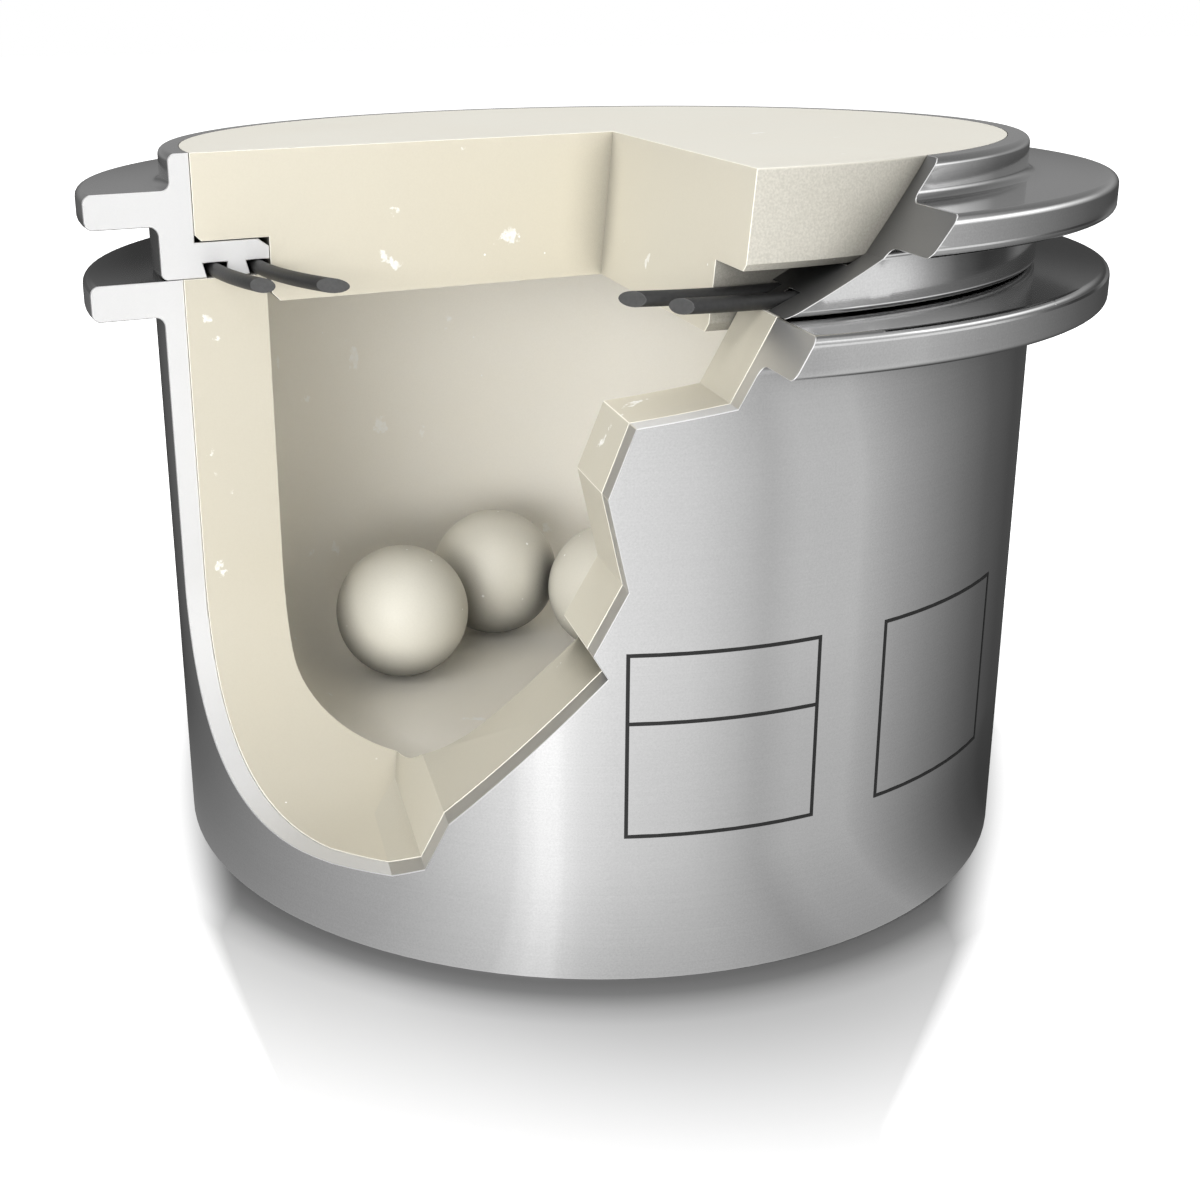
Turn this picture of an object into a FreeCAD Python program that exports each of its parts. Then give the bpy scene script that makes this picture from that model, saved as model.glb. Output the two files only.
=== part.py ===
import FreeCAD, Part
import math
import os

V = FreeCAD.Vector

# Grinding jar for a planetary ball mill, shown cut open at the front left.
# Millimetres, +Z up, origin at the centre of the jar's base, viewer at -Y.
# An azimuth is measured about +Z from -Y towards +X.

# Steel jacket of the jar
BARREL_R = 65.0
JACKET_WALL = 3.0
JACKET_FLOOR = 3.4
JAR_H = 86.8
JAR_FLANGE_OVERHANG = 10.0
JAR_FLANGE_T = 5.0
JACKET_CORNER_R = 5.0
BASE_EDGE_R = 0.6

# Ceramic liner in the jacket
LINER_WALL = 12.0
LINER_FLOOR = 12.0
CAVITY_CORNER_R = 15.0
LINER_CORNER_EXTRA_R = 0.3
LINER_MOUTH_R = 0.4
LINER_GAP = 0.1

# Steel ring of the lid
LID_SEAT_GAP = 0.1
LID_H = 17.1
HUB_H = 7.4
LID_FLANGE_OVERHANG = 10.0
LID_FLANGE_T = 4.8
BOSS_STEP = 2.0
BOSS_WALL = 3.0
LEDGE_TOP = 4.9
LEDGE_CHAMFER_R = 1.5
LEDGE_CHAMFER_H = 1.1

# Turned edges and inside corners of the steel parts
EDGE_R = 1.0
FLANGE_EDGE_R = 1.2
UNDERCUT_R = 1.3

# Seal rings and their dovetail grooves
SEAL_CORD = 2.0
SEAL_GAP = 0.05
GROOVE_MOUTH_GAP = 0.25
GROOVE_DOVETAIL = 0.5
OUTER_SEAL_INSET = 7.75
SEAL_SPACING = 6.2
PARTITION_RELIEF = 0.1

# Ceramic insert of the lid
INSERT_GAP = 0.1
INSERT_SEAT_GAP = 0.15
INSERT_CHAMFER = 0.9
PLUG_DEPTH = 4.0
PLUG_CHAMFER = 1.2
PLUG_GAP = 0.1

# Grinding balls: the first is placed on the floor, each next one from its neighbour
BALL_R = 11.0
BALL_FLOOR_GAP = 0.1
FIRST_BALL_RADIUS_SHARE = 0.874
FIRST_BALL_AZIMUTH = -97.7
NEXT_BALL_GAPS = (3.0, 0.45)
NEXT_BALL_AZIMUTHS = (145.1, 68.0)

# Section through the front left: one straight cut through the axis, and a broken
# edge that follows a second direction
SECTION_AZIMUTH = -64.5
BREAK_AZIMUTH = 14.2
INSERT_BREAK_AZIMUTH = 15.2
SECTION_FILLET_R = 32.0
SECTION_FLOOR_SHARE = 0.675
# Broken edge of the jar, upwards: across in barrel radii, up from cut floor to rim
JAR_BREAK_SHARES = (
    (-0.720, 0.000), (-0.606, 0.0106), (-0.543, 0.0372), (-0.497, 0.1328),
    (-0.200, 0.4183), (-0.228, 0.4582), (-0.163, 0.5697), (-0.203, 0.7264),
    (-0.154, 0.8420), (0.035, 0.8659), (0.1215, 1.0),
)
# Broken edge of the lid ring and the straight cut of the insert: across in barrel
# radii, up in shares of the lid's or the insert's height
RING_BREAK_SHARES = ((0.1215, 0.0), (0.3215, 0.3626), (0.463, 1.0))
INSERT_BREAK_SHARES = ((0.0392, 0.0), (0.0677, 1.0))
# Cut ends of the seal rings, left and right: where each ends, and the azimuth that the
# upright planes of both rings face there
OUTER_SEAL_END_AZIMUTHS = (-48.0, 11.6)
INNER_SEAL_END_AZIMUTHS = (-40.5, 6.5)
SEAL_END_FACINGS = (-16.0, -25.5)

# Room past a face for every cut, and the distance within which two points are one
OVERRUN = 1.0
SAME_POINT = 0.0005

# Places worked out from the sizes above
jacket_inner_r = BARREL_R - JACKET_WALL
liner_outer_r = jacket_inner_r - LINER_GAP
cavity_r = jacket_inner_r - LINER_WALL
cavity_z = JACKET_FLOOR + LINER_FLOOR
jar_flange_r = BARREL_R + JAR_FLANGE_OVERHANG
lid_z = JAR_H + LID_SEAT_GAP
lid_top = lid_z + LID_H
lid_flange_r = BARREL_R + LID_FLANGE_OVERHANG
lid_flange_z = lid_z + HUB_H
boss_r = BARREL_R - BOSS_STEP
bore_r = boss_r - BOSS_WALL
ledge_z = lid_z + LEDGE_TOP
outer_seal_r = BARREL_R - OUTER_SEAL_INSET
inner_seal_r = outer_seal_r - SEAL_SPACING
seal_bottom = JAR_H + SEAL_GAP
groove_z = seal_bottom + SEAL_CORD + SEAL_GAP
mouth_half = SEAL_CORD / 2 + GROOVE_MOUTH_GAP
plug_r = inner_seal_r - mouth_half - 2 * GROOVE_MOUTH_GAP
plug_z = JAR_H - PLUG_DEPTH
ledge_r = plug_r + PLUG_GAP
insert_z = ledge_z + INSERT_SEAT_GAP
insert_r = bore_r - INSERT_GAP
cut_floor = JACKET_FLOOR + SECTION_FLOOR_SHARE * LINER_FLOOR
far = 2 * max(jar_flange_r, lid_flange_r)


def heading(azimuth):
    """Unit vector that points along an azimuth."""
    angle = math.radians(azimuth)
    return V(math.sin(angle), -math.cos(angle), 0)


def outline(points, across):
    """Closed wire in the plane of one horizontal direction and +Z. Each point is
    (across, up) or (across, up, corner radius)."""
    places = [across * p[0] + V(0, 0, p[1]) for p in points]
    count = len(points)
    starts, ends, corners = [], [], []
    for i, point in enumerate(points):
        here = places[i]
        if len(point) < 3:
            starts.append(here)
            ends.append(here)
            corners.append(None)
            continue
        back = (places[i - 1] - here).normalize()
        ahead = (places[(i + 1) % count] - here).normalize()
        half = back.getAngle(ahead) / 2
        reach = point[2] / math.tan(half)
        middle = (back + ahead).normalize() * (point[2] / math.sin(half) - point[2])
        starts.append(here + back * reach)
        ends.append(here + ahead * reach)
        corners.append(here + middle)
    edges = []
    for i in range(count):
        if corners[i] is not None:
            edges.append(Part.Arc(starts[i], corners[i], ends[i]).toShape())
        following = starts[(i + 1) % count]
        if not ends[i].isEqual(following, SAME_POINT):
            edges.append(Part.LineSegment(ends[i], following).toShape())
    return Part.Wire(edges)


def turned(points):
    """Solid of revolution about the jar's axis, from (radius, height) points."""
    face = Part.Face(outline(points, V(1, 0, 0)))
    return face.revolve(V(0, 0, 0), V(0, 0, 1), 360)


def extruded(points, across, along):
    """Outline drawn on the axis and pushed both ways along a horizontal direction."""
    face = Part.Face(outline(points, across))
    face.translate(-along * far)
    return face.extrude(along * 2 * far)


def beyond(azimuth, distance):
    """All the space past a vertical plane that faces an azimuth."""
    frame = ((distance, -far), (far, -far), (far, far), (distance, far))
    return extruded(frame, heading(azimuth), heading(azimuth + 90))


def left_of_break(shares, azimuth, low, high):
    """Space left of a broken edge that follows an azimuth and climbs between two
    heights."""
    edge = [(across * BARREL_R, low + up * (high - low)) for across, up in shares]
    lowest = (edge[0][0], low - OVERRUN)
    highest = (edge[-1][0], high + OVERRUN)
    outer = [(-far, high + OVERRUN), (-far, low - OVERRUN)]
    return extruded([lowest] + edge + [highest] + outer,
                    heading(azimuth + 90), heading(azimuth))


def jar_section():
    """Space cut from the jar: the straight cut runs out into the floor in a fillet."""
    facing = heading(SECTION_AZIMUTH + 90)
    hollow = ((0, JAR_H + OVERRUN), (0, cut_floor, SECTION_FILLET_R),
              (far, cut_floor), (far, JAR_H + OVERRUN))
    front = extruded(hollow, facing, heading(SECTION_AZIMUTH))
    return front.common(left_of_break(JAR_BREAK_SHARES, BREAK_AZIMUTH, cut_floor, JAR_H))


def lid_section(shares, azimuth, low):
    """Space cut from a piece of the lid."""
    front = beyond(SECTION_AZIMUTH + 90, 0)
    return front.common(left_of_break(shares, azimuth, low, lid_top))


def jar_jacket():
    """Steel jacket with its clamping flange."""
    flange_z = JAR_H - JAR_FLANGE_T
    return turned((
        (0, 0), (BARREL_R, 0, BASE_EDGE_R), (BARREL_R, flange_z, UNDERCUT_R),
        (jar_flange_r, flange_z, FLANGE_EDGE_R), (jar_flange_r, JAR_H, FLANGE_EDGE_R),
        (jacket_inner_r, JAR_H), (jacket_inner_r, JACKET_FLOOR, JACKET_CORNER_R),
        (0, JACKET_FLOOR),
    )).cut(jar_section())


def jar_liner():
    """Ceramic cup that stands on the jacket's floor, with a rounded cavity."""
    corner = JACKET_CORNER_R + LINER_CORNER_EXTRA_R
    return turned((
        (0, JACKET_FLOOR), (liner_outer_r, JACKET_FLOOR, corner),
        (liner_outer_r, JAR_H), (cavity_r, JAR_H, LINER_MOUTH_R),
        (cavity_r, cavity_z, CAVITY_CORNER_R), (0, cavity_z),
    )).cut(jar_section())


def lid_ring():
    """Steel ring of the lid, with two dovetail grooves on its underside."""
    flange_top = lid_flange_z + LID_FLANGE_T
    outer_mouth = outer_seal_r + mouth_half
    partition_outer = outer_seal_r - mouth_half
    partition_inner = inner_seal_r + mouth_half
    tip = lid_z + PARTITION_RELIEF
    return turned((
        (outer_mouth, lid_z), (BARREL_R, lid_z, EDGE_R),
        (BARREL_R, lid_flange_z, UNDERCUT_R),
        (lid_flange_r, lid_flange_z, FLANGE_EDGE_R),
        (lid_flange_r, flange_top, FLANGE_EDGE_R), (boss_r, flange_top, UNDERCUT_R),
        (boss_r, lid_top, EDGE_R), (bore_r, lid_top), (bore_r, ledge_z),
        (ledge_r + LEDGE_CHAMFER_R, ledge_z), (ledge_r, ledge_z - LEDGE_CHAMFER_H),
        (ledge_r, groove_z), (partition_inner + GROOVE_DOVETAIL, groove_z),
        (partition_inner, tip), (partition_outer, tip),
        (partition_outer - GROOVE_DOVETAIL, groove_z),
        (outer_mouth + GROOVE_DOVETAIL, groove_z),
    )).cut(lid_section(RING_BREAK_SHARES, BREAK_AZIMUTH, lid_z))


def lid_insert():
    """Ceramic disc on the ring's ledge, with a plug that closes the cavity."""
    return turned((
        (0, plug_z), (plug_r - PLUG_CHAMFER, plug_z), (plug_r, plug_z + PLUG_CHAMFER),
        (plug_r, insert_z), (insert_r - INSERT_CHAMFER, insert_z),
        (insert_r, insert_z + INSERT_CHAMFER), (insert_r, lid_top), (0, lid_top),
    )).cut(lid_section(INSERT_BREAK_SHARES, INSERT_BREAK_AZIMUTH, plug_z))


def seal_ring(radius, end_azimuths):
    """Rubber ring in a groove of the lid, cut away across the section."""
    ring = Part.makeTorus(radius, SEAL_CORD / 2, V(0, 0, seal_bottom + SEAL_CORD / 2))
    left, right = [beyond(facing, (heading(azimuth) * radius).dot(heading(facing)))
                   for facing, azimuth in zip(SEAL_END_FACINGS, end_azimuths)]
    return ring.cut(left.common(right))


def ball_centres():
    """Ball places: the second and third keep their gaps whatever the ball's size."""
    height = V(0, 0, cavity_z + BALL_FLOOR_GAP + BALL_R)
    track_r = FIRST_BALL_RADIUS_SHARE * (cavity_r - CAVITY_CORNER_R)
    places = [heading(FIRST_BALL_AZIMUTH) * track_r + height]
    for gap, azimuth in zip(NEXT_BALL_GAPS, NEXT_BALL_AZIMUTHS):
        places.append(places[-1] + heading(azimuth) * (2 * BALL_R + gap))
    return places


def main():
    parts = {
        "jar_jacket": jar_jacket(),
        "jar_liner": jar_liner(),
        "lid_ring": lid_ring(),
        "lid_insert": lid_insert(),
        "outer_seal_ring": seal_ring(outer_seal_r, OUTER_SEAL_END_AZIMUTHS),
        "inner_seal_ring": seal_ring(inner_seal_r, INNER_SEAL_END_AZIMUTHS),
    }
    for number, centre in enumerate(ball_centres(), 1):
        parts["grinding_ball_%d" % number] = Part.makeSphere(BALL_R, centre)
    os.makedirs("parts", exist_ok=True)
    for name, shape in parts.items():
        shape.exportStep("parts/%s.step" % name)
        print(name, shape.isValid(), len(shape.Solids), round(shape.Volume, 1))


main()
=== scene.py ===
import math

import bmesh
import bpy
from mathutils import Matrix, Vector


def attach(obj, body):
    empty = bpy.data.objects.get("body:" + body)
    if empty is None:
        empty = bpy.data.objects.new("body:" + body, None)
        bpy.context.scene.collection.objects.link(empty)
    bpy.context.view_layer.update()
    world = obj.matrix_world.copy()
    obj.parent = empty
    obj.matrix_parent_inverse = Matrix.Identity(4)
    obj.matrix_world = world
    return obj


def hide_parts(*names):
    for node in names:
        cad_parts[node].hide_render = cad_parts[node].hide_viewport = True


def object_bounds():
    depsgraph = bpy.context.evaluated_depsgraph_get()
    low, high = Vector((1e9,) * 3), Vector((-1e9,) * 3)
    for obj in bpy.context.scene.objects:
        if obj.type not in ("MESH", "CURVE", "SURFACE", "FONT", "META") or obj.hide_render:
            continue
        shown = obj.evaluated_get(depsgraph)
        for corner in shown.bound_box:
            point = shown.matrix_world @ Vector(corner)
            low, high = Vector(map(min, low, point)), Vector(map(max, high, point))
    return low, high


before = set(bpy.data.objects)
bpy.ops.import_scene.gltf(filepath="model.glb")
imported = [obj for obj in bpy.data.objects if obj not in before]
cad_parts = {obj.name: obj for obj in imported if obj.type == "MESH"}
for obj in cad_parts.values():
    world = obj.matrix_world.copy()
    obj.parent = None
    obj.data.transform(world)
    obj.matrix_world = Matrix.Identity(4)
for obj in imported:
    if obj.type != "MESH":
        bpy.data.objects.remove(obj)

# Grinding jar, cut open at the front left. Metres, +Z up, the viewer at -Y.
# An azimuth is measured about +Z from -Y towards +X, in degrees.

cad_box = [list(corner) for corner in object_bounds()]
LID_TOP = cad_box[1][2]

# Section of the jar: azimuths of the straight cut and of the two broken cuts, and the
# level floor that the straight cut runs out to in a fillet
STRAIGHT_CUT = -64.5
BROKEN_CUT = 14.2
INSERT_CUT = 15.2
CUT_FLOOR = 0.0115
CUT_FILLET = 0.032
# Azimuths that the cut ends of the seal rings face
SEAL_END_FACINGS = (-16.0, -25.5)

# Kinds of face. A copy's finishes stand in this order, with its deburred edges last.
TURNED, SAWN, BROKEN = 0, 1, 2
# Most of a unit normal that may point along the straight cut, round the axis or along
# the break, for a face to count as sawn, turned or broken
SAWN_SLACK = 0.2
TURNED_SLACK = 0.03
BROKEN_SLACK = 0.001
# Least dot product of two ways that count as the same, for a face and a step that are
# level, and for a true surface that still fits its flat face
SAME_WAY = 0.999
LEVEL_FACE = 0.999
LEVEL_STEP = 0.95
FITTING_NORMAL = 0.6
# Distance at which a point still lies on a surface, and at which two points are one
ON_SURFACE = 0.00002
SAME_POINT = 0.000002
# Angle between faces below which they are one, and above which their edge is deburred
FLAT_ANGLE = math.radians(0.5)
CORNER_ANGLE = math.radians(25)

# Widths of the deburred edges of the section
STEEL_DEBUR = 0.00010
CERAMIC_DEBUR = 0.00008
RUBBER_DEBUR = 0.00006

# Rounded edges of the turned pieces: radius and height of the centre, and the edge
# radius, negative for an inside corner
JACKET_ROUNDINGS = (
    (0.0644, 0.0006, 0.0006), (0.0663, 0.0805, -0.0013), (0.0738, 0.0830, 0.0012),
    (0.0738, 0.0856, 0.0012), (0.0570, 0.0084, -0.0050),
)
RING_ROUNDINGS = (
    (0.0640, 0.0879, 0.0010), (0.0663, 0.0930, -0.0013), (0.0738, 0.0955, 0.0012),
    (0.0738, 0.0979, 0.0012), (0.0643, 0.1004, -0.0013), (0.0620, 0.1030, 0.0010),
)
LINER_ROUNDINGS = (
    (0.0566, 0.0087, 0.0053), (0.0504, 0.0864, 0.0004), (0.0350, 0.0304, -0.0150),
)
OUTER_CORD = ((0.05725, 0.08785, 0.0010),)
INNER_CORD = ((0.05105, 0.08785, 0.0010),)
# Steps between the rows of a rounded edge that turn by more than this are halved, this
# many times at most
WIDE_STEP = math.radians(14)
HALVINGS = 3

# Bare marking fields on the barrel: heights, width and thickness of the lines, columns
# of a long line, and azimuths of the sides
BARREL_RADIUS = 0.065
FIELD_LOW = 0.0210
FIELD_HIGH = 0.0459
DIVIDER_HEIGHT = 0.0367
FIELD_LINE = 0.0005
FIELD_INK = 0.00002
FIELD_COLUMNS = 24
LEFT_FIELD = (4.6, 27.5)
RIGHT_FIELD = (36.55, 59.8)

# Ceramic colours, from the warm to the cool end of its clouds. The sawn and broken faces are
# kept much darker than the fired ones, and the fired liner paler than the insert, to even out
# how the lamps light them: painted shade on the section faces and painted light in the cavity
FIRED_LINER = ((0.92, 0.89, 0.81, 1), (0.92, 0.895, 0.83, 1))
SAWN_LINER = ((0.61, 0.57, 0.465, 1), (0.605, 0.57, 0.475, 1))
BROKEN_LINER = ((0.58, 0.545, 0.45, 1), (0.57, 0.545, 0.46, 1))
FIRED_INSERT = ((0.84, 0.81, 0.72, 1), (0.83, 0.81, 0.73, 1))
SAWN_INSERT = ((0.685, 0.64, 0.525, 1), (0.68, 0.64, 0.53, 1))
BROKEN_INSERT = ((0.68, 0.64, 0.535, 1), (0.67, 0.64, 0.54, 1))
# Deburred section edges of the ceramic: a real bevel whose pale colour is a painted highlight
# line
HIGHLIT_DEBURRED_CERAMIC = ((0.90, 0.87, 0.77, 1), (0.91, 0.88, 0.79, 1))
BALL = ((0.69, 0.666, 0.59, 1), (0.70, 0.682, 0.605, 1))
# Colour of the insert's fired faces below the lid's top, darker as painted shade
SHADED_INSERT_SIDE = (0.50, 0.48, 0.42, 1)
FLECK_WHITE = (0.99, 0.99, 0.96, 1)
# Depth under the lid's top face over which the insert's top colour ends; the insert's fired
# faces below it take the darker side colour, which is painted shade
TOP_SKIN = 0.0003

# Greys of steel, rubber and ink, dark and pale
TURNED_STEEL = (0.49, 0.68)
SAWN_STEEL = (0.69, 0.77)
BROKEN_STEEL = (0.62, 0.74)
# The lid ring's broken faces are kept dark as painted shade
SHADED_RING_STEEL_GREYS = (0.20, 0.28)
# Deburred section edges of the steel: a real bevel whose near-white grey is a painted highlight
# line
HIGHLIT_DEBURRED_STEEL = (0.90, 0.98)
SEAL_RUBBER = (0.010, 0.028)
CUT_RUBBER = (0.06, 0.10)
INK = (0.002, 0.012)
# Least roughness of the finishes
TURNED_ROUGHNESS = 0.075
CUT_ROUGHNESS = 0.36
EDGE_ROUGHNESS = 0.27
INK_ROUGHNESS = 0.55

# Most painted shade in a corner, which ambient occlusion finds, the openness between which it
# fades out, its grey on turned steel, and the share that it leaves of the colour of cut steel
# and of ceramic
MOST_CREASE_SHADE = 0.85
OPENNESS = (0.12, 0.80)
STEEL_CREASE_SHADE_GREY = 0.05
CUT_CREASE_SHADE_SHARE = 0.10
CERAMIC_CREASE_SHADE_SHARE = 0.06
# Darker grains in ceramic: the share of its colour that they keep, and their weight
GRAIN_SHARE = 0.94
GRAIN_WEIGHT = 0.35
# Values that a noise mostly stays between, and the scale of the soft clouds
NOISE_BAND = (0.3, 0.7)
CLOUD_SCALE = 38.0
# Flecks: edge and weight of a patch, and the fleck noise that breaks it up
PATCH_EDGE = (0.0, 0.03)
PATCH_WEIGHT = 0.9
FLECK_BAND = (0.35, 0.60)
LEAST_FLECK = 0.45
# Specks: the smallest one's share of the largest, their soft edge, the share left out
SMALLEST_SPECK = 0.4
SPECK_EDGE = (0.0, 0.4)
SPECK_RARITY = 0.5

# Camera and lens of the photograph
CAMERA_PLACE = (0, -0.258356, 0.123612)
CAMERA_FACING = (-0.06930045, 0.9442492, -0.32185539)
CAMERA_UP = (-0.00385041, 0.32237547, 0.94660405)
SENSOR_WIDTH = 36.0
FOCAL_LENGTH = 50.45
FRAME_SHIFT = (0.11048, -0.02709)
CLIPPING = (0.01, 20)

# Lamps: azimuth, elevation and distance, width and height, power in watts
LAMPS = (
    ("overhead", 180, 68, 1.2, 1.0, 0.8, 12.4),
    ("high_front", -24, 40, 1.2, 0.8, 0.5, 3.8),
    ("left_fill", -22, 14, 1.1, 0.8, 0.3, 5.8),
    ("low_front", -4, 4, 1.1, 0.8, 0.3, 4.8),
    ("right_fill", 38, 14, 1.1, 0.8, 0.3, 0.8),
)
LAMP_AIM = Vector((0, 0, 0.05))
# Strength of the white surroundings as a light
SKY_LIGHT = 0.11

# Floor: half its side, its height, its grey for light that bounces, and its greys as seen
# under the jar and beyond a band of distances from the axis; the darker grey under the jar is
# painted shadow
FLOOR_HALF = 4.0
FLOOR_HEIGHT = -0.0001
FLOOR_BOUNCE = 0.88
UNDER_SHADE = 0.24
BEYOND_SHADE = 0.41
SHADE_BAND = (0.0655, 0.0715)
# Glow of the floor as seen: bands of distances from the axis, and the rise in each; low glow
# near the jar paints the jar's shadow there
NEAR_GLOWS = (((0.0680, 0.075), 0.27), ((0.075, 0.104), 0.41))
FAR_GLOW_BAND = (0.104, 0.124)
FAR_GLOW = 0.45
# Beside the painted shadow the floor glows from a slope off the camera's middle line, so the
# glow's gap paints the shadow's sides, and the slope counts for more as the floor gets further
# from the axis
SIDE_SLOPES = (0.232, 0.278)
SIDE_GLOW = 0.88
TAPER_BAND = (0.074, 0.100)
TAPER = 0.055

# Tent of cards that only gloss sees
TENT_RADIUS = 0.095
TENT_HEIGHT = 0.30
TENT_FLOOR = -0.00005
TENT_SIDES = 96
# Azimuth and brightness of the cards, once round. The gap's row stands in the lower
# row, and the upper and the high row follow above.
CARD_LEVELS = (
    (-175, 0.80), (-165, 0.45), (-150, 0.06), (-120, 0.05), (-100, 0.15), (-84, 0.25),
    (-70, 0.38), (-50, 0.60), (-29, 0.88), (-15, 1.26), (-11.2, 1.38), (-10.8, 1.50),
    (-8, 1.64), (-7.4, 1.76), (-3.6, 1.76), (-3, 1.56), (0, 1.36), (5, 1.20), (17, 1.02),
    (26, 0.79), (29, 0.70), (35, 0.80), (47, 0.78), (48, 0.71), (56, 0.53), (66, 0.365),
    (76, 0.24), (86, 0.15), (102, 0.085), (140, 0.06), (155, 0.20), (168, 0.70),
)
GAP_LEVELS = (
    (-120, 0.05), (-60, 0.20), (0, 0.90), (25, 1.15), (54, 1.12), (58, 1.05), (65, 0.48),
    (72, 0.17), (81, 0.06), (91, 0.07), (99, 0.22), (115, 0.10), (160, 0.10),
)
UPPER_LEVELS = (
    (-150, 0.30), (-90, 0.30), (-40, 0.80), (30, 1.50), (48.5, 1.80), (49.5, 3.40),
    (51.5, 3.40), (52.5, 2.30), (66, 2.40), (78, 1.30), (92, 0.50), (120, 0.30),
    (150, 0.30),
)
HIGH_LEVELS = (
    (-150, 0.30), (-90, 0.22), (-60, 0.45), (-30, 0.80), (0, 1.15), (30, 0.85), (50, 0.70),
    (65, 0.45), (80, 0.25), (120, 0.28), (150, 0.30),
)
# Heights over which one row of cards gives way to another
GAP_START = (0.0812, 0.0828)
GAP_END = (0.0895, 0.0912)
UPPER_CARDS = (0.094, 0.108)
HIGH_CARDS = (0.104, 0.118)
# On the tent's floor azimuths past the edge are read further round, most by the barrel
CARD_EDGE = 47.7
FLOOR_SPREAD = 0.8
# Higher up, azimuths right of the middle are read this much further round
TURN_HEIGHTS = (0.055, 0.078)
TURN_AZIMUTHS = (10.0, 35.0)
HIGH_TURN = 5.2
# Gain of the lower cards at the foot, by the barrel and at the tent's side, and its fall
# towards the flange
FOOT_GAINS = (0.62, 0.85)
FOOT_HEIGHTS = (0.0, 0.035)
SHOULDER_HEIGHTS = (0.060, 0.078)
SHOULDER_GAIN = 0.91


def heading(azimuth):
    """Unit vector that points along an azimuth."""
    angle = math.radians(azimuth)
    return Vector((math.sin(angle), -math.cos(angle), 0))


def from_axis(place):
    """Distance of a point from the jar's axis, and the level way out to it."""
    outwards = Vector((place.x, place.y, 0))
    return outwards.length, outwards.normalized()


def new_object(name, data):
    made = bpy.data.objects.new(name, data)
    bpy.context.scene.collection.objects.link(made)
    return made


# Node helpers


def add(tree, kind, **settings):
    """A node with its properties set."""
    node = tree.nodes.new(kind)
    for key, value in settings.items():
        setattr(node, key, value)
    return node


def link(tree, out, into):
    tree.links.new(out, into)


def feed(tree, value, slot):
    """Links a socket to an input, or writes a plain value there."""
    if isinstance(value, bpy.types.NodeSocket):
        link(tree, value, slot)
    else:
        slot.default_value = value


def maths(tree, operation, *values):
    """A Math node fed by sockets or numbers; gives its output socket."""
    node = add(tree, "ShaderNodeMath", operation=operation)
    for slot, value in zip(node.inputs, values):
        feed(tree, value, slot)
    return node.outputs[0]


def weighted_sum(tree, start, *parts):
    """A number plus masks times their weights."""
    total = start
    for mask, weight in parts:
        total = maths(tree, "MULTIPLY_ADD", mask, weight, total)
    return total


def remap(tree, value, band, low, high, smooth=False):
    """Low at the start of a band of values and high at its end, as an output socket."""
    node = add(tree, "ShaderNodeMapRange", clamp=True)
    if smooth:
        node.interpolation_type = "SMOOTHSTEP"
    link(tree, value, node.inputs["Value"])
    for label, number in zip(("From Min", "From Max", "To Min", "To Max"), (*band, low, high)):
        node.inputs[label].default_value = number
    return node.outputs["Result"]


def noise(tree, vector, scale, detail, roughness=0.5):
    """A Noise Texture; gives its value socket."""
    node = add(tree, "ShaderNodeTexNoise")
    node.inputs["Detail"].default_value = detail
    node.inputs["Roughness"].default_value = roughness
    link(tree, vector, node.inputs["Vector"])
    feed(tree, scale, node.inputs["Scale"])
    return node.outputs["Fac"]


def blend_colours(tree, factor, first, second):
    """A colour Mix node fed by sockets or colours; gives its colour socket."""
    node = add(tree, "ShaderNodeMix", data_type="RGBA")
    factor_in, first_in, second_in = node.inputs[0], node.inputs[6], node.inputs[7]
    for slot, value in ((factor_in, factor), (first_in, first), (second_in, second)):
        feed(tree, value, slot)
    return node.outputs[2]


def object_place(tree):
    """The place on the piece, as a vector socket."""
    return add(tree, "ShaderNodeTexCoord").outputs["Object"]


def parts_of(tree, vector):
    """The three parts of a vector, as sockets."""
    split = add(tree, "ShaderNodeSeparateXYZ")
    link(tree, vector, split.inputs[0])
    return tuple(split.outputs)


def axis_distance(tree, x, y):
    """Distance from the jar's axis, as a socket."""
    squares = maths(tree, "ADD", maths(tree, "MULTIPLY", x, x), maths(tree, "MULTIPLY", y, y))
    return maths(tree, "SQRT", squares)


def seen_by_viewer(tree):
    """1 for what the camera sees, straight, in gloss or through glass, 0 for light that
    bounces."""
    rays = add(tree, "ShaderNodeLightPath")
    seen = maths(tree, "MAXIMUM", rays.outputs["Is Camera Ray"], rays.outputs["Is Glossy Ray"])
    return maths(tree, "MAXIMUM", seen, rays.outputs["Is Transmission Ray"])


def new_group(name, inputs, outputs):
    """An empty shader node group with named number sockets."""
    tree = bpy.data.node_groups.new(name, "ShaderNodeTree")
    for label, start in inputs:
        made = tree.interface.new_socket(label, in_out="INPUT", socket_type="NodeSocketFloat")
        made.default_value = start
    for label in outputs:
        tree.interface.new_socket(label, in_out="OUTPUT", socket_type="NodeSocketFloat")
    return tree, add(tree, "NodeGroupInput"), add(tree, "NodeGroupOutput")


def place_group(tree, group, **values):
    """A group node in a material with its own values."""
    node = add(tree, "ShaderNodeGroup", node_tree=group)
    for label, value in values.items():
        node.inputs[label.replace("_", " ")].default_value = value
    return node


# Shared effects


def satin_speckle_group():
    """Fine even speckle, as on blasted steel and ground ceramic, and broad soft clouds."""
    tree, enter, leave = new_group("satin_speckle", [("Grain Size", 0.0003)],
                                   ["Speckle", "Clouds"])
    place = object_place(tree)
    scale = maths(tree, "DIVIDE", 1.0, enter.outputs["Grain Size"])
    link(tree, noise(tree, place, scale, detail=1.0), leave.inputs["Speckle"])
    clouds = noise(tree, place, CLOUD_SCALE, detail=3.0, roughness=0.6)
    link(tree, clouds, leave.inputs["Clouds"])
    return tree


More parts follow.
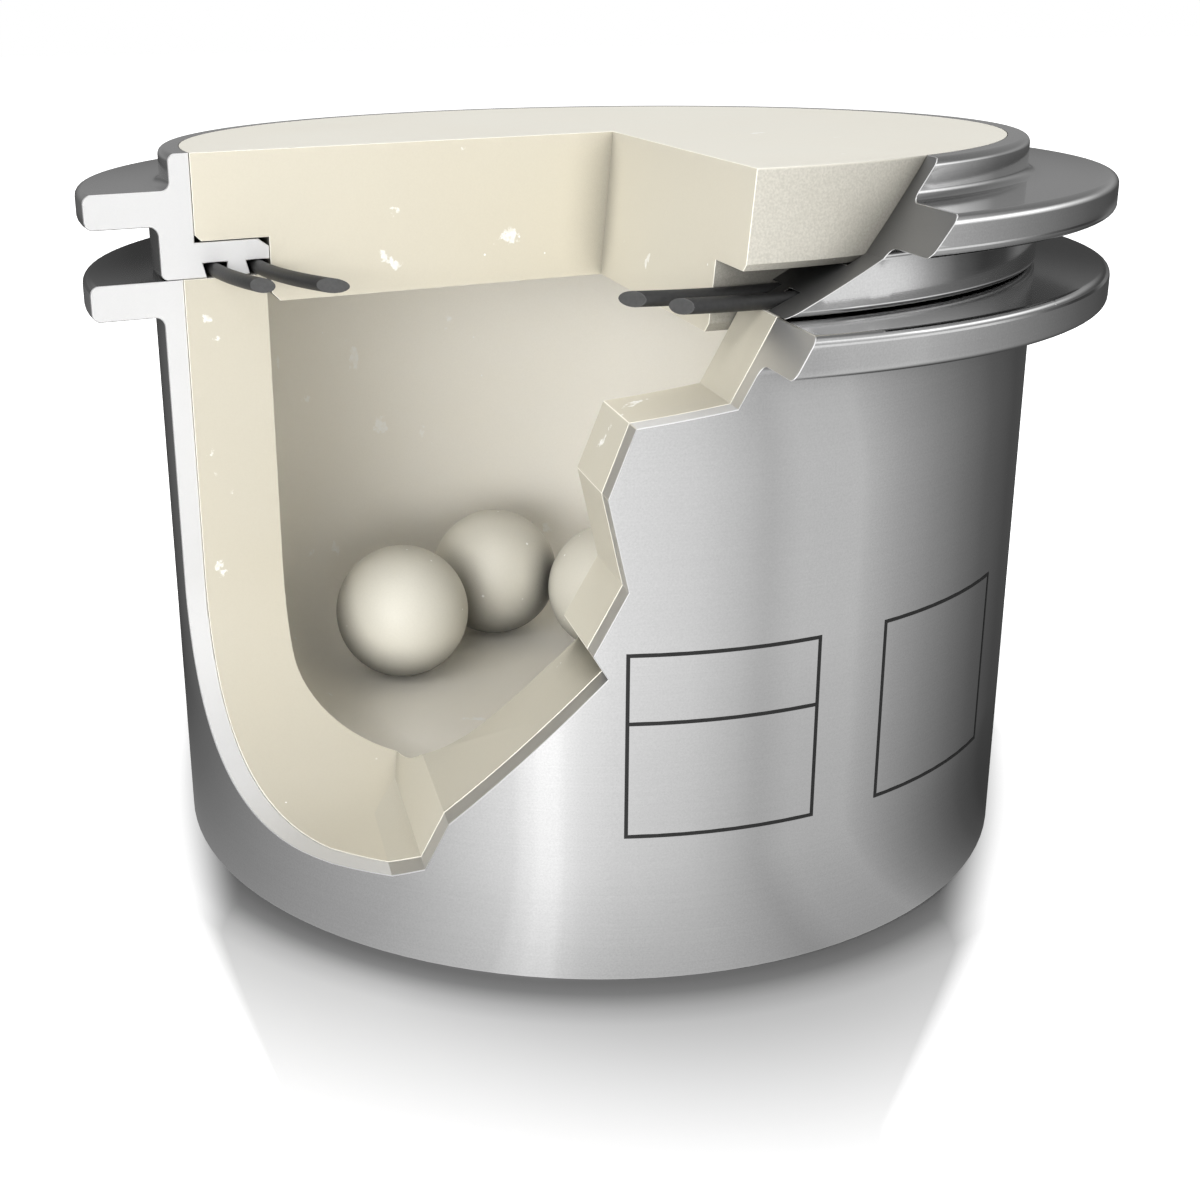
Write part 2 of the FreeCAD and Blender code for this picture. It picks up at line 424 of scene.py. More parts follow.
def turning_lines_group():
    """Fine rings that the lathe tool leaves round the jar's axis."""
    tree, enter, leave = new_group("turning_lines", [("Pitch", 0.0002)], ["Lines"])
    x, y, z = parts_of(tree, object_place(tree))
    turn = maths(tree, "ARCTAN2", y, x)
    join = add(tree, "ShaderNodeCombineXYZ")
    ring = maths(tree, "DIVIDE", axis_distance(tree, x, y), enter.outputs["Pitch"])
    link(tree, ring, join.inputs[0])
    link(tree, maths(tree, "COSINE", turn), join.inputs[1])
    link(tree, maths(tree, "DIVIDE", z, enter.outputs["Pitch"]), join.inputs[2])
    lines = noise(tree, join.outputs[0], scale=1.0, detail=3.0, roughness=0.65)
    link(tree, lines, leave.inputs["Lines"])
    return tree


def mineral_flecks_group():
    """Sparse small patches of whiter flecks, as in sintered ceramic."""
    tree, enter, leave = new_group(
        "mineral_flecks", [("Patch Scale", 55.0), ("Fleck Scale", 700.0), ("Rarity", 0.66)],
        ["Flecks"])
    place = object_place(tree)
    patches, breakup = [noise(tree, place, enter.outputs[label], detail=5.0, roughness=0.6)
                        for label in ("Patch Scale", "Fleck Scale")]
    above = maths(tree, "SUBTRACT", patches, enter.outputs["Rarity"])
    patch = remap(tree, above, PATCH_EDGE, 0.0, PATCH_WEIGHT, smooth=True)
    fleck = remap(tree, breakup, FLECK_BAND, LEAST_FLECK, 1.0, smooth=True)
    link(tree, maths(tree, "MULTIPLY", patch, fleck), leave.inputs["Flecks"])
    return tree


def white_specks_group():
    """Single small round specks, far apart."""
    tree, enter, leave = new_group(
        "white_specks", [("Spacing", 0.002), ("Dot Radius", 0.0002), ("Rarity", 0.5)],
        ["Specks"])
    cells = add(tree, "ShaderNodeTexVoronoi")
    link(tree, object_place(tree), cells.inputs["Vector"])
    link(tree, maths(tree, "DIVIDE", 1.0, enter.outputs["Spacing"]), cells.inputs["Scale"])
    chance, size_chance, _ = parts_of(tree, cells.outputs["Color"])
    chosen = maths(tree, "GREATER_THAN", chance, enter.outputs["Rarity"])
    largest = maths(tree, "DIVIDE", enter.outputs["Dot Radius"], enter.outputs["Spacing"])
    share = weighted_sum(tree, SMALLEST_SPECK, (size_chance, 1 - SMALLEST_SPECK))
    size = maths(tree, "MULTIPLY", largest, share)
    depth = maths(tree, "DIVIDE", maths(tree, "SUBTRACT", size, cells.outputs["Distance"]), size)
    dot = remap(tree, depth, SPECK_EDGE, 0.0, 1.0, smooth=True)
    link(tree, maths(tree, "MULTIPLY", dot, chosen), leave.inputs["Specks"])
    return tree


SPECKLE = satin_speckle_group()
TURNING = turning_lines_group()
FLECKS = mineral_flecks_group()
SPECKS = white_specks_group()


# Finishes


def grey(value):
    return (value, value, value, 1)


def between_greys(tree, mask, greys):
    """A colour socket that goes from the dark to the pale grey with a mask."""
    dark, pale = greys
    return blend_colours(tree, mask, grey(dark), grey(pale))


def darker(colour, share):
    """A colour with only a share of its brightness."""
    return [share * part for part in colour[:3]] + [1]


def new_material(name):
    material = bpy.data.materials.new(name)
    material.use_nodes = True
    tree = material.node_tree
    return material, tree, tree.nodes["Principled BSDF"]


def speckle_masks(tree, grain_size):
    """The fine speckle and the soft clouds, as two sockets."""
    node = place_group(tree, SPECKLE, Grain_Size=grain_size)
    return node.outputs["Speckle"], node.outputs["Clouds"]


def painted_crease_shade(tree, reach, strength, own_only=True):
    """Mask of painted shade in inside corners, which ambient occlusion finds: those of the
    piece alone, or also those that it makes with its neighbours."""
    node = add(tree, "ShaderNodeAmbientOcclusion", only_local=own_only, samples=8)
    node.inputs["Distance"].default_value = reach
    return remap(tree, node.outputs["AO"], OPENNESS, strength, 0.0)


def roughen(tree, shader, least, *parts):
    """Roughness that masks raise a little."""
    link(tree, weighted_sum(tree, least, *parts), shader.inputs["Roughness"])


def bump(tree, shader, height, strength, distance):
    """Small relief on a shader's Normal."""
    node = add(tree, "ShaderNodeBump")
    node.inputs["Strength"].default_value = strength
    node.inputs["Distance"].default_value = distance
    link(tree, height, node.inputs["Height"])
    link(tree, node.outputs["Normal"], shader.inputs["Normal"])


def turned_steel():
    """Satin steel of the jacket and ring: fine speckle over faint turning lines."""
    material, tree, shader = new_material("turned_satin_steel")
    speckle, clouds = speckle_masks(tree, grain_size=0.00025)
    lines = place_group(tree, TURNING, Pitch=0.00022).outputs["Lines"]
    tone = weighted_sum(tree, 0.0, (lines, 0.25), (speckle, 0.5), (clouds, 0.25))
    colour = between_greys(tree, tone, TURNED_STEEL)
    # Painted shade: inside corners darken towards a near black
    crease_shade = painted_crease_shade(tree, reach=0.008, strength=MOST_CREASE_SHADE)
    colour = blend_colours(tree, crease_shade, colour, grey(STEEL_CREASE_SHADE_GREY))
    link(tree, colour, shader.inputs["Base Color"])
    shader.inputs["Metallic"].default_value = 1.0
    roughen(tree, shader, TURNED_ROUGHNESS, (lines, 0.03), (clouds, 0.02))
    relief = maths(tree, "ADD", lines, speckle)
    bump(tree, shader, relief, strength=0.08, distance=0.00002)
    return material


def cut_steel(name, greys, metallic, reach=0.004, crease_shade_strength=0.45, own_only=True):
    """Sawn or broken steel, evenly satin between two greys, with painted shade in its inside
    corners.
    """
    material, tree, shader = new_material(name)
    speckle, clouds = speckle_masks(tree, grain_size=0.0003)
    tone = weighted_sum(tree, 0.0, (clouds, 0.4), (speckle, 0.35))
    colour = between_greys(tree, tone, greys)
    crease_shade = painted_crease_shade(tree, reach, crease_shade_strength, own_only)
    colour = blend_colours(tree, crease_shade, colour, grey(CUT_CREASE_SHADE_SHARE * greys[1]))
    link(tree, colour, shader.inputs["Base Color"])
    shader.inputs["Metallic"].default_value = metallic
    roughen(tree, shader, CUT_ROUGHNESS, (speckle, 0.08))
    bump(tree, shader, speckle, strength=0.10, distance=0.00003)
    return material


def steel_edge():
    """Deburred edge of the cut steel: a real narrow bevel whose near-white grey also paints a
    highlight line all along it.
    """
    material, tree, shader = new_material("deburred_steel_edge")
    speckle, clouds = speckle_masks(tree, grain_size=0.0002)
    link(tree, between_greys(tree, speckle, HIGHLIT_DEBURRED_STEEL), shader.inputs["Base Color"])
    shader.inputs["Metallic"].default_value = 1.0
    roughen(tree, shader, EDGE_ROUGHNESS, (clouds, 0.06))
    return material


def ceramic(name, colours, rarity, patch_scale, fleck_scale, crease_shade_reach=None, own_only=True,
            speck_spacing=0.006, speck_radius=0.00024, side=None):
    """Cream sintered ceramic: clouds between two colours, fine darker grain, whiter
    flecks and specks, and painted shade in inside corners as far as the reach says. With a
    side colour, painted shade: the faces under the lid's top face take that darker colour,
    and the two colours are left to the lid's top face."""
    material, tree, shader = new_material(name)
    warm, cool = colours
    speckle, clouds = speckle_masks(tree, grain_size=0.00028)
    body = blend_colours(tree, remap(tree, clouds, NOISE_BAND, 0.0, 1.0), warm, cool)
    # Painted shade: all but the lid's top face take the darker side colour
    if side:
        height = parts_of(tree, object_place(tree))[2]
        on_top = remap(tree, height, (LID_TOP - TOP_SKIN, LID_TOP), 0.0, 1.0)
        body = blend_colours(tree, on_top, side, body)
    grain = remap(tree, speckle, NOISE_BAND, GRAIN_WEIGHT, 0.0)
    body = blend_colours(tree, grain, body, darker(warm, GRAIN_SHARE))
    flecks = place_group(tree, FLECKS, Patch_Scale=patch_scale, Fleck_Scale=fleck_scale,
                         Rarity=rarity)
    body = blend_colours(tree, flecks.outputs["Flecks"], body, FLECK_WHITE)
    specks = place_group(tree, SPECKS, Spacing=speck_spacing, Dot_Radius=speck_radius,
                         Rarity=SPECK_RARITY)
    body = blend_colours(tree, specks.outputs["Specks"], body, FLECK_WHITE)
    # Painted shade in inside corners, also where neighbours meet unless own_only
    if crease_shade_reach:
        crease_shade = painted_crease_shade(tree, crease_shade_reach, MOST_CREASE_SHADE, own_only)
        body = blend_colours(tree, crease_shade, body, darker(cool, CERAMIC_CREASE_SHADE_SHARE))
    link(tree, body, shader.inputs["Base Color"])
    roughen(tree, shader, CUT_ROUGHNESS, (clouds, 0.10))
    bump(tree, shader, speckle, strength=0.08, distance=0.00003)
    return material


def rubber(name, greys, roughness):
    """Black seal rubber, slightly mottled."""
    material, tree, shader = new_material(name)
    speckle, _ = speckle_masks(tree, grain_size=0.0005)
    link(tree, between_greys(tree, speckle, greys), shader.inputs["Base Color"])
    roughen(tree, shader, roughness, (speckle, 0.15))
    bump(tree, shader, speckle, strength=0.25, distance=0.00008)
    return material


def marking_ink():
    """Matt black of the laser-marked lines."""
    material, tree, shader = new_material("laser_marking")
    speckle, _ = speckle_masks(tree, grain_size=0.0002)
    link(tree, between_greys(tree, speckle, INK), shader.inputs["Base Color"])
    roughen(tree, shader, INK_ROUGHNESS, (speckle, 0.2))
    return material


# Pieces


def along_straight_cut(place):
    """Distance of a point from the straight cut, which runs out into the level floor in
    a fillet, and the way that the cut faces there."""
    facing = heading(STRAIGHT_CUT + 90)
    up = Vector((0, 0, 1))
    across = place.dot(facing)
    above = place.z - CUT_FLOOR
    if above >= CUT_FILLET:
        return abs(across), facing
    if across >= CUT_FILLET:
        return abs(above), up
    inwards = facing * (CUT_FILLET - across) + up * (CUT_FILLET - above)
    return abs(inwards.length - CUT_FILLET), inwards.normalized()


def cut_kind(face, break_azimuth):
    """Kind of a face. The floor that the straight cut runs out to and the level steps of
    the break count as sawn."""
    normal = face.normal
    on_cut = all(along_straight_cut(vertex.co)[0] < ON_SURFACE for vertex in face.verts)
    if on_cut and abs(normal.dot(heading(STRAIGHT_CUT))) < SAWN_SLACK:
        return SAWN
    centre = face.calc_center_median()
    around = Vector((-centre.y, centre.x, 0)).normalized()
    if abs(normal.dot(around)) < TURNED_SLACK:
        return TURNED
    if abs(normal.dot(heading(break_azimuth))) > BROKEN_SLACK:
        return TURNED
    return SAWN if normal.z > LEVEL_STEP else BROKEN


def cord_end_kind(face, facings):
    """Kind of a face of a seal ring, whose cut ends count as sawn."""
    cut_end = any(face.normal.dot(heading(way)) > SAME_WAY for way in facings)
    return SAWN if cut_end else TURNED


def finished_copy(node_name, body, finishes, kind_of, cut, debur, roundings):
    """A copy of a CAD node with a finish for each kind of face and deburred section
    edges."""
    shape = bmesh.new()
    shape.from_mesh(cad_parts[node_name].data)
    bmesh.ops.remove_doubles(shape, verts=shape.verts, dist=SAME_POINT)
    shape.normal_update()
    for face in shape.faces:
        face.material_index = kind_of(face, cut)
        face.smooth = True
    refine_roundings(shape, roundings)
    edge_index = len(finishes) - 1
    deburr_section(shape, debur, edge_index)
    mesh = bpy.data.meshes.new(node_name + "_finished")
    shape.to_mesh(mesh)
    shape.free()
    for finish in finishes:
        mesh.materials.append(finish)
    shade_exactly(mesh, roundings, edge_index)
    piece = new_object(node_name + "_finished", mesh)
    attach(piece, body)
    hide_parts(node_name)


def deburr_section(shape, width, edge_index):
    """Joins the flat stretches of the section and bevels its outside edges."""
    shape.normal_update()
    flat = [edge for edge in shape.edges
            if all(face.material_index for face in edge.link_faces)
            and edge.calc_face_angle(1.0) < FLAT_ANGLE]
    bmesh.ops.dissolve_edges(shape, edges=flat, use_verts=False, use_face_split=False)
    border = [edge for edge in shape.edges
              if any(face.material_index for face in edge.link_faces)
              and edge.calc_face_angle(0.0) > CORNER_ANGLE and edge.is_convex]
    made = bmesh.ops.bevel(shape, geom=border, offset=width, offset_type="OFFSET",
                           segments=1, profile=0.5, affect="EDGES", material=-1,
                           clamp_overlap=False, loop_slide=True)
    for face in made["faces"]:
        face.material_index = edge_index


def refine_roundings(shape, roundings):
    """More rows of points on the rounded edges, where long triangles would span them."""
    for _ in range(HALVINGS):
        wide = []
        for edge in shape.edges:
            if any(face.material_index for face in edge.link_faces):
                continue
            first, second = [rounding_at(vertex.co, roundings) for vertex in edge.verts]
            if first and second and first[0] == second[0]:
                if first[1].angle(second[1]) > WIDE_STEP:
                    wide.append(edge)
        made = bmesh.ops.subdivide_edges(shape, edges=wide, cuts=1)
        for part in made["geom_inner"]:
            if isinstance(part, bmesh.types.BMVert):
                settle_on_rounding(part, roundings)
        many = [face for face in shape.faces
                if len(face.verts) > 3 and not face.material_index]
        bmesh.ops.triangulate(shape, faces=many)


def rounding_at(place, roundings):
    """Which rounded edge a point lies on, and the way from that edge's centre."""
    radius, _ = from_axis(place)
    for number, (ring, height, edge_radius) in enumerate(roundings):
        away = Vector((radius - ring, 0, place.z - height))
        if abs(away.length - abs(edge_radius)) < ON_SURFACE:
            return number, away
    return None


def settle_on_rounding(vertex, roundings):
    """Moves a point between two rows of a rounded edge out to its true surface."""
    radius, outwards = from_axis(vertex.co)
    best = None
    for ring, height, edge_radius in roundings:
        away = Vector((radius - ring, 0, vertex.co.z - height))
        miss = abs(away.length - abs(edge_radius))
        if best is None or miss < best[0]:
            settled = away.normalized() * abs(edge_radius)
            best = (miss, outwards * (ring + settled.x) + Vector((0, 0, height + settled.z)))
    vertex.co = best[1]


def turned_normal(place, flat, roundings):
    """The way that a turned face points at one of its corners."""
    radius, outwards = from_axis(place)
    if radius < SAME_POINT or abs(flat.z) > LEVEL_FACE:
        return flat
    for ring, height, edge_radius in roundings:
        away = outwards * (radius - ring) + Vector((0, 0, place.z - height))
        if abs(away.length - abs(edge_radius)) < ON_SURFACE:
            return away.normalized() * math.copysign(1, edge_radius)
    level = math.copysign(math.sqrt(1 - flat.z * flat.z), flat.dot(outwards))
    return outwards * level + Vector((0, 0, flat.z))


def shade_exactly(mesh, roundings, edge_index):
    """Shading normals of the true surfaces: a turned face's by its profile, a cut face's
    by the straight cut and its fillet. A face that points elsewhere stays flat."""
    normals = [None] * len(mesh.loops)
    for polygon in mesh.polygons:
        flat = polygon.normal.copy()
        for corner in polygon.loop_indices:
            place = mesh.vertices[mesh.loops[corner].vertex_index].co
            exact = flat
            if polygon.material_index == TURNED:
                exact = turned_normal(place, flat, roundings)
            elif polygon.material_index < edge_index:
                exact = along_straight_cut(place)[1]
            normals[corner] = exact if exact.dot(flat) > FITTING_NORMAL else flat
    mesh.normals_split_custom_set(normals)


def dress(node_name, finish):
    """A CAD node that keeps its own shape."""
    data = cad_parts[node_name].data
    data.materials.clear()
    data.materials.append(finish)


def field_line_frame(name, span, divider, finish):
    """Black outline of a bare marking field, bent round the barrel."""
    left, right = (math.radians(azimuth) * BARREL_RADIUS for azimuth in span)
    heights = [FIELD_LOW, FIELD_HIGH]
    if divider:
        heights.insert(1, DIVIDER_HEIGHT)
    shape = bmesh.new()
    for height in heights:
        strip(shape, left, right, height, height + FIELD_LINE, FIELD_COLUMNS)
    for low, high in zip(heights, heights[1:]):
        for side in (left, right - FIELD_LINE):
            strip(shape, side, side + FIELD_LINE, low + FIELD_LINE, high, 1)
    bmesh.ops.remove_doubles(shape, verts=shape.verts, dist=SAME_POINT)
    for vertex in shape.verts:
        azimuth = math.degrees(vertex.co.x / BARREL_RADIUS)
        vertex.co = heading(azimuth) * BARREL_RADIUS + Vector((0, 0, vertex.co.y))
    shape.normal_update()
    for vertex in shape.verts:
        vertex.co += from_axis(vertex.co)[1] * FIELD_INK
    mesh = bpy.data.meshes.new(name)
    shape.to_mesh(mesh)
    shape.free()
    mesh.materials.append(finish)
    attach(new_object(name, mesh), "jar")


def strip(shape, left, right, low, high, columns):
    """Flat strip in arc length and height."""
    made = bmesh.ops.create_grid(shape, x_segments=columns, y_segments=1, size=0.5)
    verts = made["verts"]
    bmesh.ops.scale(shape, verts=verts, vec=(right - left, high - low, 1))
    bmesh.ops.translate(shape, verts=verts, vec=((left + right) / 2, (low + high) / 2, 0))


# Studio


def studio_floor():
    """Plain white floor with the jar's shadow, partly cast by the lamps and partly painted."""
    mesh = bpy.data.meshes.new("floor")
    shape = bmesh.new()
    bmesh.ops.create_grid(shape, x_segments=1, y_segments=1, size=FLOOR_HALF)
    bmesh.ops.translate(shape, verts=shape.verts, vec=(0, 0, FLOOR_HEIGHT))
    shape.to_mesh(mesh)
    shape.free()
    mesh.materials.append(floor_finish())
    new_object("floor", mesh)


def floor_finish():
    """Near white for light that bounces. As seen it is grey with a glow that makes it
    white all round but for the jar's shadow, which the lamps cast in part and a darker grey and
    a gap in the glow paint in front of the jar."""
    material, tree, shader = new_material("studio_floor")
    shader.inputs["Roughness"].default_value = 0.9
    shader.inputs["Specular IOR Level"].default_value = 0
    shader.inputs["Emission Color"].default_value = grey(1.0)
    seen = seen_by_viewer(tree)
    place = object_place(tree)
    length = add(tree, "ShaderNodeVectorMath", operation="LENGTH")
    link(tree, place, length.inputs[0])
    distance = length.outputs["Value"]
    beyond = remap(tree, distance, SHADE_BAND, 0.0, 1.0)
    shade = blend_colours(tree, beyond, grey(UNDER_SHADE), grey(BEYOND_SHADE))
    colour = blend_colours(tree, seen, grey(FLOOR_BOUNCE), shade)
    link(tree, colour, shader.inputs["Base Color"])
    glow = floor_glow(tree, distance, place)
    link(tree, maths(tree, "MULTIPLY", seen, glow), shader.inputs["Emission Strength"])
    return material


def floor_glow(tree, distance, place):
    """Strength of the floor's glow, round the jar and beside its shadow, kept low where it
    paints the jar's shadow.
    """
    rises = [remap(tree, distance, band, 0.0, rise) for band, rise in NEAR_GLOWS]
    near_by = maths(tree, "ADD", *rises)
    x, y, _ = parts_of(tree, place)
    ahead = maths(tree, "SUBTRACT", y, CAMERA_PLACE[1])
    slope = maths(tree, "DIVIDE", maths(tree, "ABSOLUTE", x), ahead)
    slope = maths(tree, "ADD", slope, remap(tree, distance, TAPER_BAND, 0.0, TAPER))
    beside = remap(tree, slope, SIDE_SLOPES, 0.0, SIDE_GLOW, smooth=True)
    glow = maths(tree, "MAXIMUM", near_by, beside)
    return maths(tree, "ADD", glow, remap(tree, distance, FAR_GLOW_BAND, 0.0, FAR_GLOW))


def studio_world():
    """White surroundings to look at, softer as a light."""
    made = bpy.data.worlds.new("studio")
    bpy.context.scene.world = made
    made.use_nodes = True
    tree = made.node_tree
    background = tree.nodes["Background"]
    background.inputs["Color"].default_value = grey(1.0)
    strength = remap(tree, seen_by_viewer(tree), (0.0, 1.0), SKY_LIGHT, 1.0)
    link(tree, strength, background.inputs["Strength"])


def softbox(name, azimuth, elevation, distance, width, height, power):
    """Rectangular lamp aimed at the jar."""
    data = bpy.data.lights.new(name, "AREA")
    data.shape = "RECTANGLE"
    data.size, data.size_y = width, height
    data.energy = power
    lamp = new_object(name, data)
    rise = math.radians(elevation)
    way = heading(azimuth) * math.cos(rise) + Vector((0, 0, math.sin(rise)))
    lamp.location = LAMP_AIM + way * distance
    lamp.rotation_mode = "QUATERNION"
    lamp.rotation_quaternion = way.to_track_quat("Z", "Y")
    lamp.visible_glossy = False


def reflection_tent():
    """Cards round the jar that only its gloss sees: pale in front, one bright strip, and
    dark towards both sides, where they draw the steel's edges."""
    mesh = bpy.data.meshes.new("reflection_tent")
    shape = bmesh.new()
    made = bmesh.ops.create_circle(shape, cap_ends=True, segments=TENT_SIDES,
                                   radius=TENT_RADIUS)
    bmesh.ops.translate(shape, verts=made["verts"], vec=(0, 0, TENT_FLOOR))
    rim = [edge for edge in shape.edges if edge.is_boundary]
    made = bmesh.ops.extrude_edge_only(shape, edges=rim)
    tops = [part for part in made["geom"] if isinstance(part, bmesh.types.BMVert)]
    bmesh.ops.translate(shape, verts=tops, vec=(0, 0, TENT_HEIGHT))
    for face in shape.faces:
        inwards = Vector((0, 0, TENT_HEIGHT)) - face.calc_center_median()
        face.normal_update()
        if face.normal.dot(inwards) < 0:
            face.normal_flip()
    shape.to_mesh(mesh)
    shape.free()
    mesh.materials.append(card_finish())
    tent = new_object("reflection_tent", mesh)
    tent.visible_camera = False
    tent.visible_diffuse = False
    tent.visible_transmission = False
    tent.visible_volume_scatter = False
    tent.visible_shadow = False


def card_finish():
    """Glow of the cards on the side that faces the jar, clear from outside."""
    material = bpy.data.materials.new("reflection_cards")
    material.use_nodes = True
    tree = material.node_tree
    tree.nodes.clear()
    glow = add(tree, "ShaderNodeEmission")
    glow.inputs["Strength"].default_value = 1
    link(tree, card_brightness(tree), glow.inputs["Color"])
    clear = add(tree, "ShaderNodeBsdfTransparent")
    sides = add(tree, "ShaderNodeMixShader")
    link(tree, add(tree, "ShaderNodeNewGeometry").outputs["Backfacing"], sides.inputs[0])
    link(tree, glow.outputs[0], sides.inputs[1])
    link(tree, clear.outputs[0], sides.inputs[2])
    link(tree, sides.outputs[0], add(tree, "ShaderNodeOutputMaterial").inputs["Surface"])
    return material


def card_brightness(tree):
    """Brightness of the tent: the lower row of cards with the gap's row across it, then
    the upper and the high row."""
    x, y, z = parts_of(tree, object_place(tree))
    radius = axis_distance(tree, x, y)
    share = card_share(tree, x, y, z, radius)
    level = card_levels(tree, share, CARD_LEVELS)
    shown = maths(tree, "MULTIPLY", level, lower_gain(tree, z, radius))
    gap = maths(tree, "MULTIPLY", remap(tree, z, GAP_START, 0.0, 1.0, smooth=True),
                remap(tree, z, GAP_END, 1.0, 0.0, smooth=True))
    shown = blend_colours(tree, gap, shown, card_levels(tree, share, GAP_LEVELS))
    for heights, levels in ((UPPER_CARDS, UPPER_LEVELS), (HIGH_CARDS, HIGH_LEVELS)):
        above = remap(tree, z, heights, 0.0, 1.0, smooth=True)
        shown = blend_colours(tree, above, shown, card_levels(tree, share, levels))
    return shown


def card_share(tree, x, y, z, radius):
    """Share of the way round the tent from the back, read further round on the right."""
    around = maths(tree, "ARCTAN2", x, maths(tree, "MULTIPLY", y, -1.0))
    turn = maths(tree, "MULTIPLY", around, 180 / math.pi)
    past = maths(tree, "MAXIMUM", maths(tree, "SUBTRACT", turn, CARD_EDGE), 0.0)
    spread = remap(tree, radius, (BARREL_RADIUS, TENT_RADIUS), FLOOR_SPREAD, 0.0)
    turn = maths(tree, "MULTIPLY_ADD", past, spread, turn)
    higher = remap(tree, z, TURN_HEIGHTS, 0.0, HIGH_TURN, smooth=True)
    on_right = remap(tree, turn, TURN_AZIMUTHS, 0.0, 1.0)
    turn = maths(tree, "MULTIPLY_ADD", higher, on_right, turn)
    return remap(tree, turn, (-180.0, 180.0), 0.0, 1.0)


def lower_gain(tree, z, radius):
    """Gain of the lower cards: less at the foot, and a little less at the shoulder."""
    foot = remap(tree, radius, (BARREL_RADIUS, TENT_RADIUS), *FOOT_GAINS)
    up_wall = remap(tree, z, FOOT_HEIGHTS, 0.0, 1.0)
    gain = maths(tree, "MULTIPLY", up_wall, maths(tree, "SUBTRACT", 1.0, foot))
    gain = maths(tree, "ADD", gain, foot)
    shoulder = remap(tree, z, SHOULDER_HEIGHTS, 1.0, SHOULDER_GAIN)
    return maths(tree, "MULTIPLY", gain, shoulder)


def card_levels(tree, share, stops):
    """Brightness of one row of cards by its azimuths."""
    ramp = add(tree, "ShaderNodeValToRGB")
    elements = ramp.color_ramp.elements
    elements.remove(elements[1])
    for number, (azimuth, level) in enumerate(stops):
        share_here = azimuth / 360 + 0.5
        stop = elements.new(share_here) if number else elements[0]
        stop.position = share_here
        stop.color = grey(level)
    link(tree, share, ramp.inputs["Fac"])
    return ramp.outputs["Color"]


def photo_camera():
    """Camera at the photograph's viewing angle."""
    data = bpy.data.cameras.new("camera")
    data.sensor_width = SENSOR_WIDTH
    data.lens = FOCAL_LENGTH
    data.shift_x, data.shift_y = FRAME_SHIFT
    data.clip_start, data.clip_end = CLIPPING
    camera = new_object("camera", data)
    facing = Vector(CAMERA_FACING).normalized()
    up = Vector(CAMERA_UP)
    up = (up - facing * up.dot(facing)).normalized()
    right = facing.cross(up)
    turn = Matrix((right, up, -facing)).transposed().to_4x4()
    camera.matrix_world = Matrix.Translation(Vector(CAMERA_PLACE)) @ turn
    bpy.context.scene.camera = camera


# The jar and its lid

steel = turned_steel()
sawn_steel = cut_steel("straight_cut_steel", SAWN_STEEL, metallic=0.35)
broken_steel = cut_steel("broken_steel", BROKEN_STEEL, metallic=0.9)
# Painted shade: the ring's broken faces are a darker copy of the broken steel, with deep painted
# shade in its recesses and beside the insert
shaded_broken_ring_steel = cut_steel("shaded_broken_ring_steel", SHADED_RING_STEEL_GREYS, metallic=0.7,
                              reach=0.016, crease_shade_strength=0.9, own_only=False)
edge_steel = steel_edge()
jacket_finishes = (steel, sawn_steel, broken_steel, edge_steel)
ring_finishes = (steel, sawn_steel, shaded_broken_ring_steel, edge_steel)

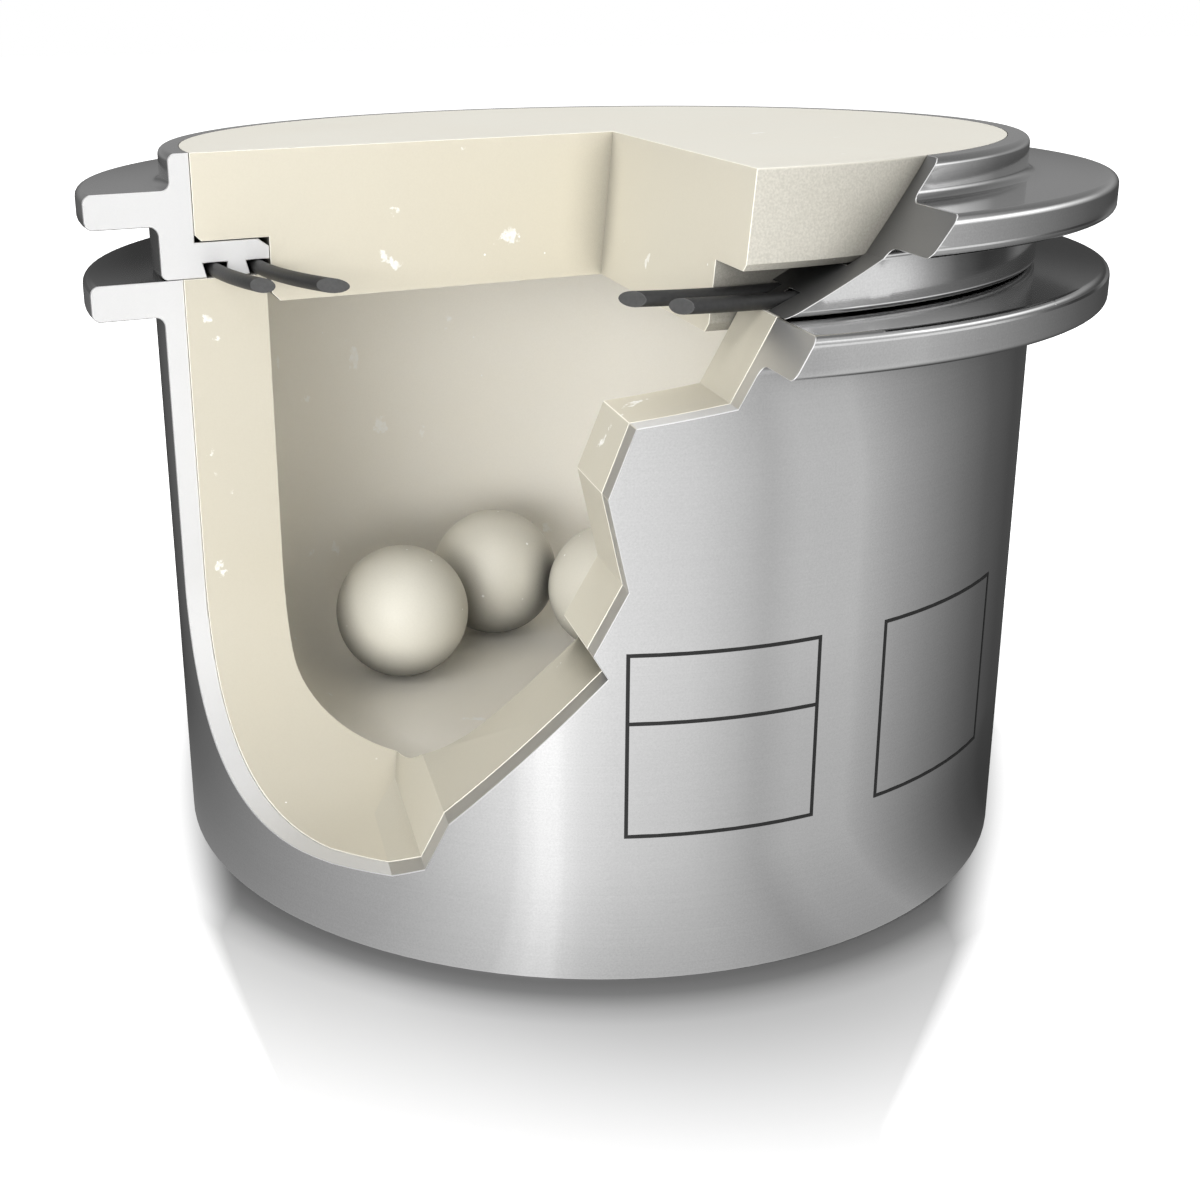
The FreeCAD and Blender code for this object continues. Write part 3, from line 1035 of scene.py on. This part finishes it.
edge_ceramic = ceramic("deburred_ceramic_edge", HIGHLIT_DEBURRED_CERAMIC, rarity=0.70,
                       patch_scale=140.0, fleck_scale=1400.0)
liner_finishes = (
    ceramic("fired_liner_ceramic", FIRED_LINER, rarity=0.655, patch_scale=110.0,
            fleck_scale=1100.0, crease_shade_reach=0.006),
    ceramic("sawn_liner_ceramic", SAWN_LINER, rarity=0.69, patch_scale=140.0,
            fleck_scale=1400.0, crease_shade_reach=0.006),
    ceramic("broken_liner_ceramic", BROKEN_LINER, rarity=0.69, patch_scale=150.0,
            fleck_scale=1400.0, crease_shade_reach=0.006),
    edge_ceramic,
)
insert_finishes = (
    ceramic("fired_insert_ceramic", FIRED_INSERT, rarity=0.69, patch_scale=130.0,
            fleck_scale=1300.0, crease_shade_reach=0.010, own_only=False, side=SHADED_INSERT_SIDE),
    ceramic("sawn_insert_ceramic", SAWN_INSERT, rarity=0.69, patch_scale=130.0,
            fleck_scale=1300.0, crease_shade_reach=0.010, own_only=False),
    ceramic("broken_insert_ceramic", BROKEN_INSERT, rarity=0.69, patch_scale=130.0,
            fleck_scale=1300.0, crease_shade_reach=0.010, own_only=False),
    edge_ceramic,
)
ball_ceramic = ceramic("ball_ceramic", BALL, rarity=0.80, patch_scale=160.0,
                       fleck_scale=1500.0, crease_shade_reach=0.014, own_only=False,
                       speck_spacing=0.0024, speck_radius=0.00034)
seal_rubber = rubber("seal_rubber", SEAL_RUBBER, roughness=0.42)
cut_rubber = rubber("cut_seal_rubber", CUT_RUBBER, roughness=0.6)
rubber_finishes = (seal_rubber, cut_rubber, cut_rubber)
ink = marking_ink()

finished_copy("jar_jacket", "jar", jacket_finishes, cut_kind, BROKEN_CUT,
              STEEL_DEBUR, JACKET_ROUNDINGS)
finished_copy("lid_ring", "lid", ring_finishes, cut_kind, BROKEN_CUT,
              STEEL_DEBUR, RING_ROUNDINGS)
finished_copy("jar_liner", "jar", liner_finishes, cut_kind, BROKEN_CUT,
              CERAMIC_DEBUR, LINER_ROUNDINGS)
finished_copy("lid_insert", "lid", insert_finishes, cut_kind, INSERT_CUT,
              CERAMIC_DEBUR, ())
for ring, cord in (("outer_seal_ring", OUTER_CORD), ("inner_seal_ring", INNER_CORD)):
    finished_copy(ring, "lid", rubber_finishes, cord_end_kind,
                  SEAL_END_FACINGS, RUBBER_DEBUR, cord)
for number in (1, 2, 3):
    dress("grinding_ball_%d" % number, ball_ceramic)
field_line_frame("left_marking_field", LEFT_FIELD, True, ink)
field_line_frame("right_marking_field", RIGHT_FIELD, False, ink)

# The studio round them

studio_floor()
studio_world()
reflection_tent()
for lamp in LAMPS:
    softbox(*lamp)
photo_camera()
bpy.context.scene.view_settings.view_transform = "Standard"
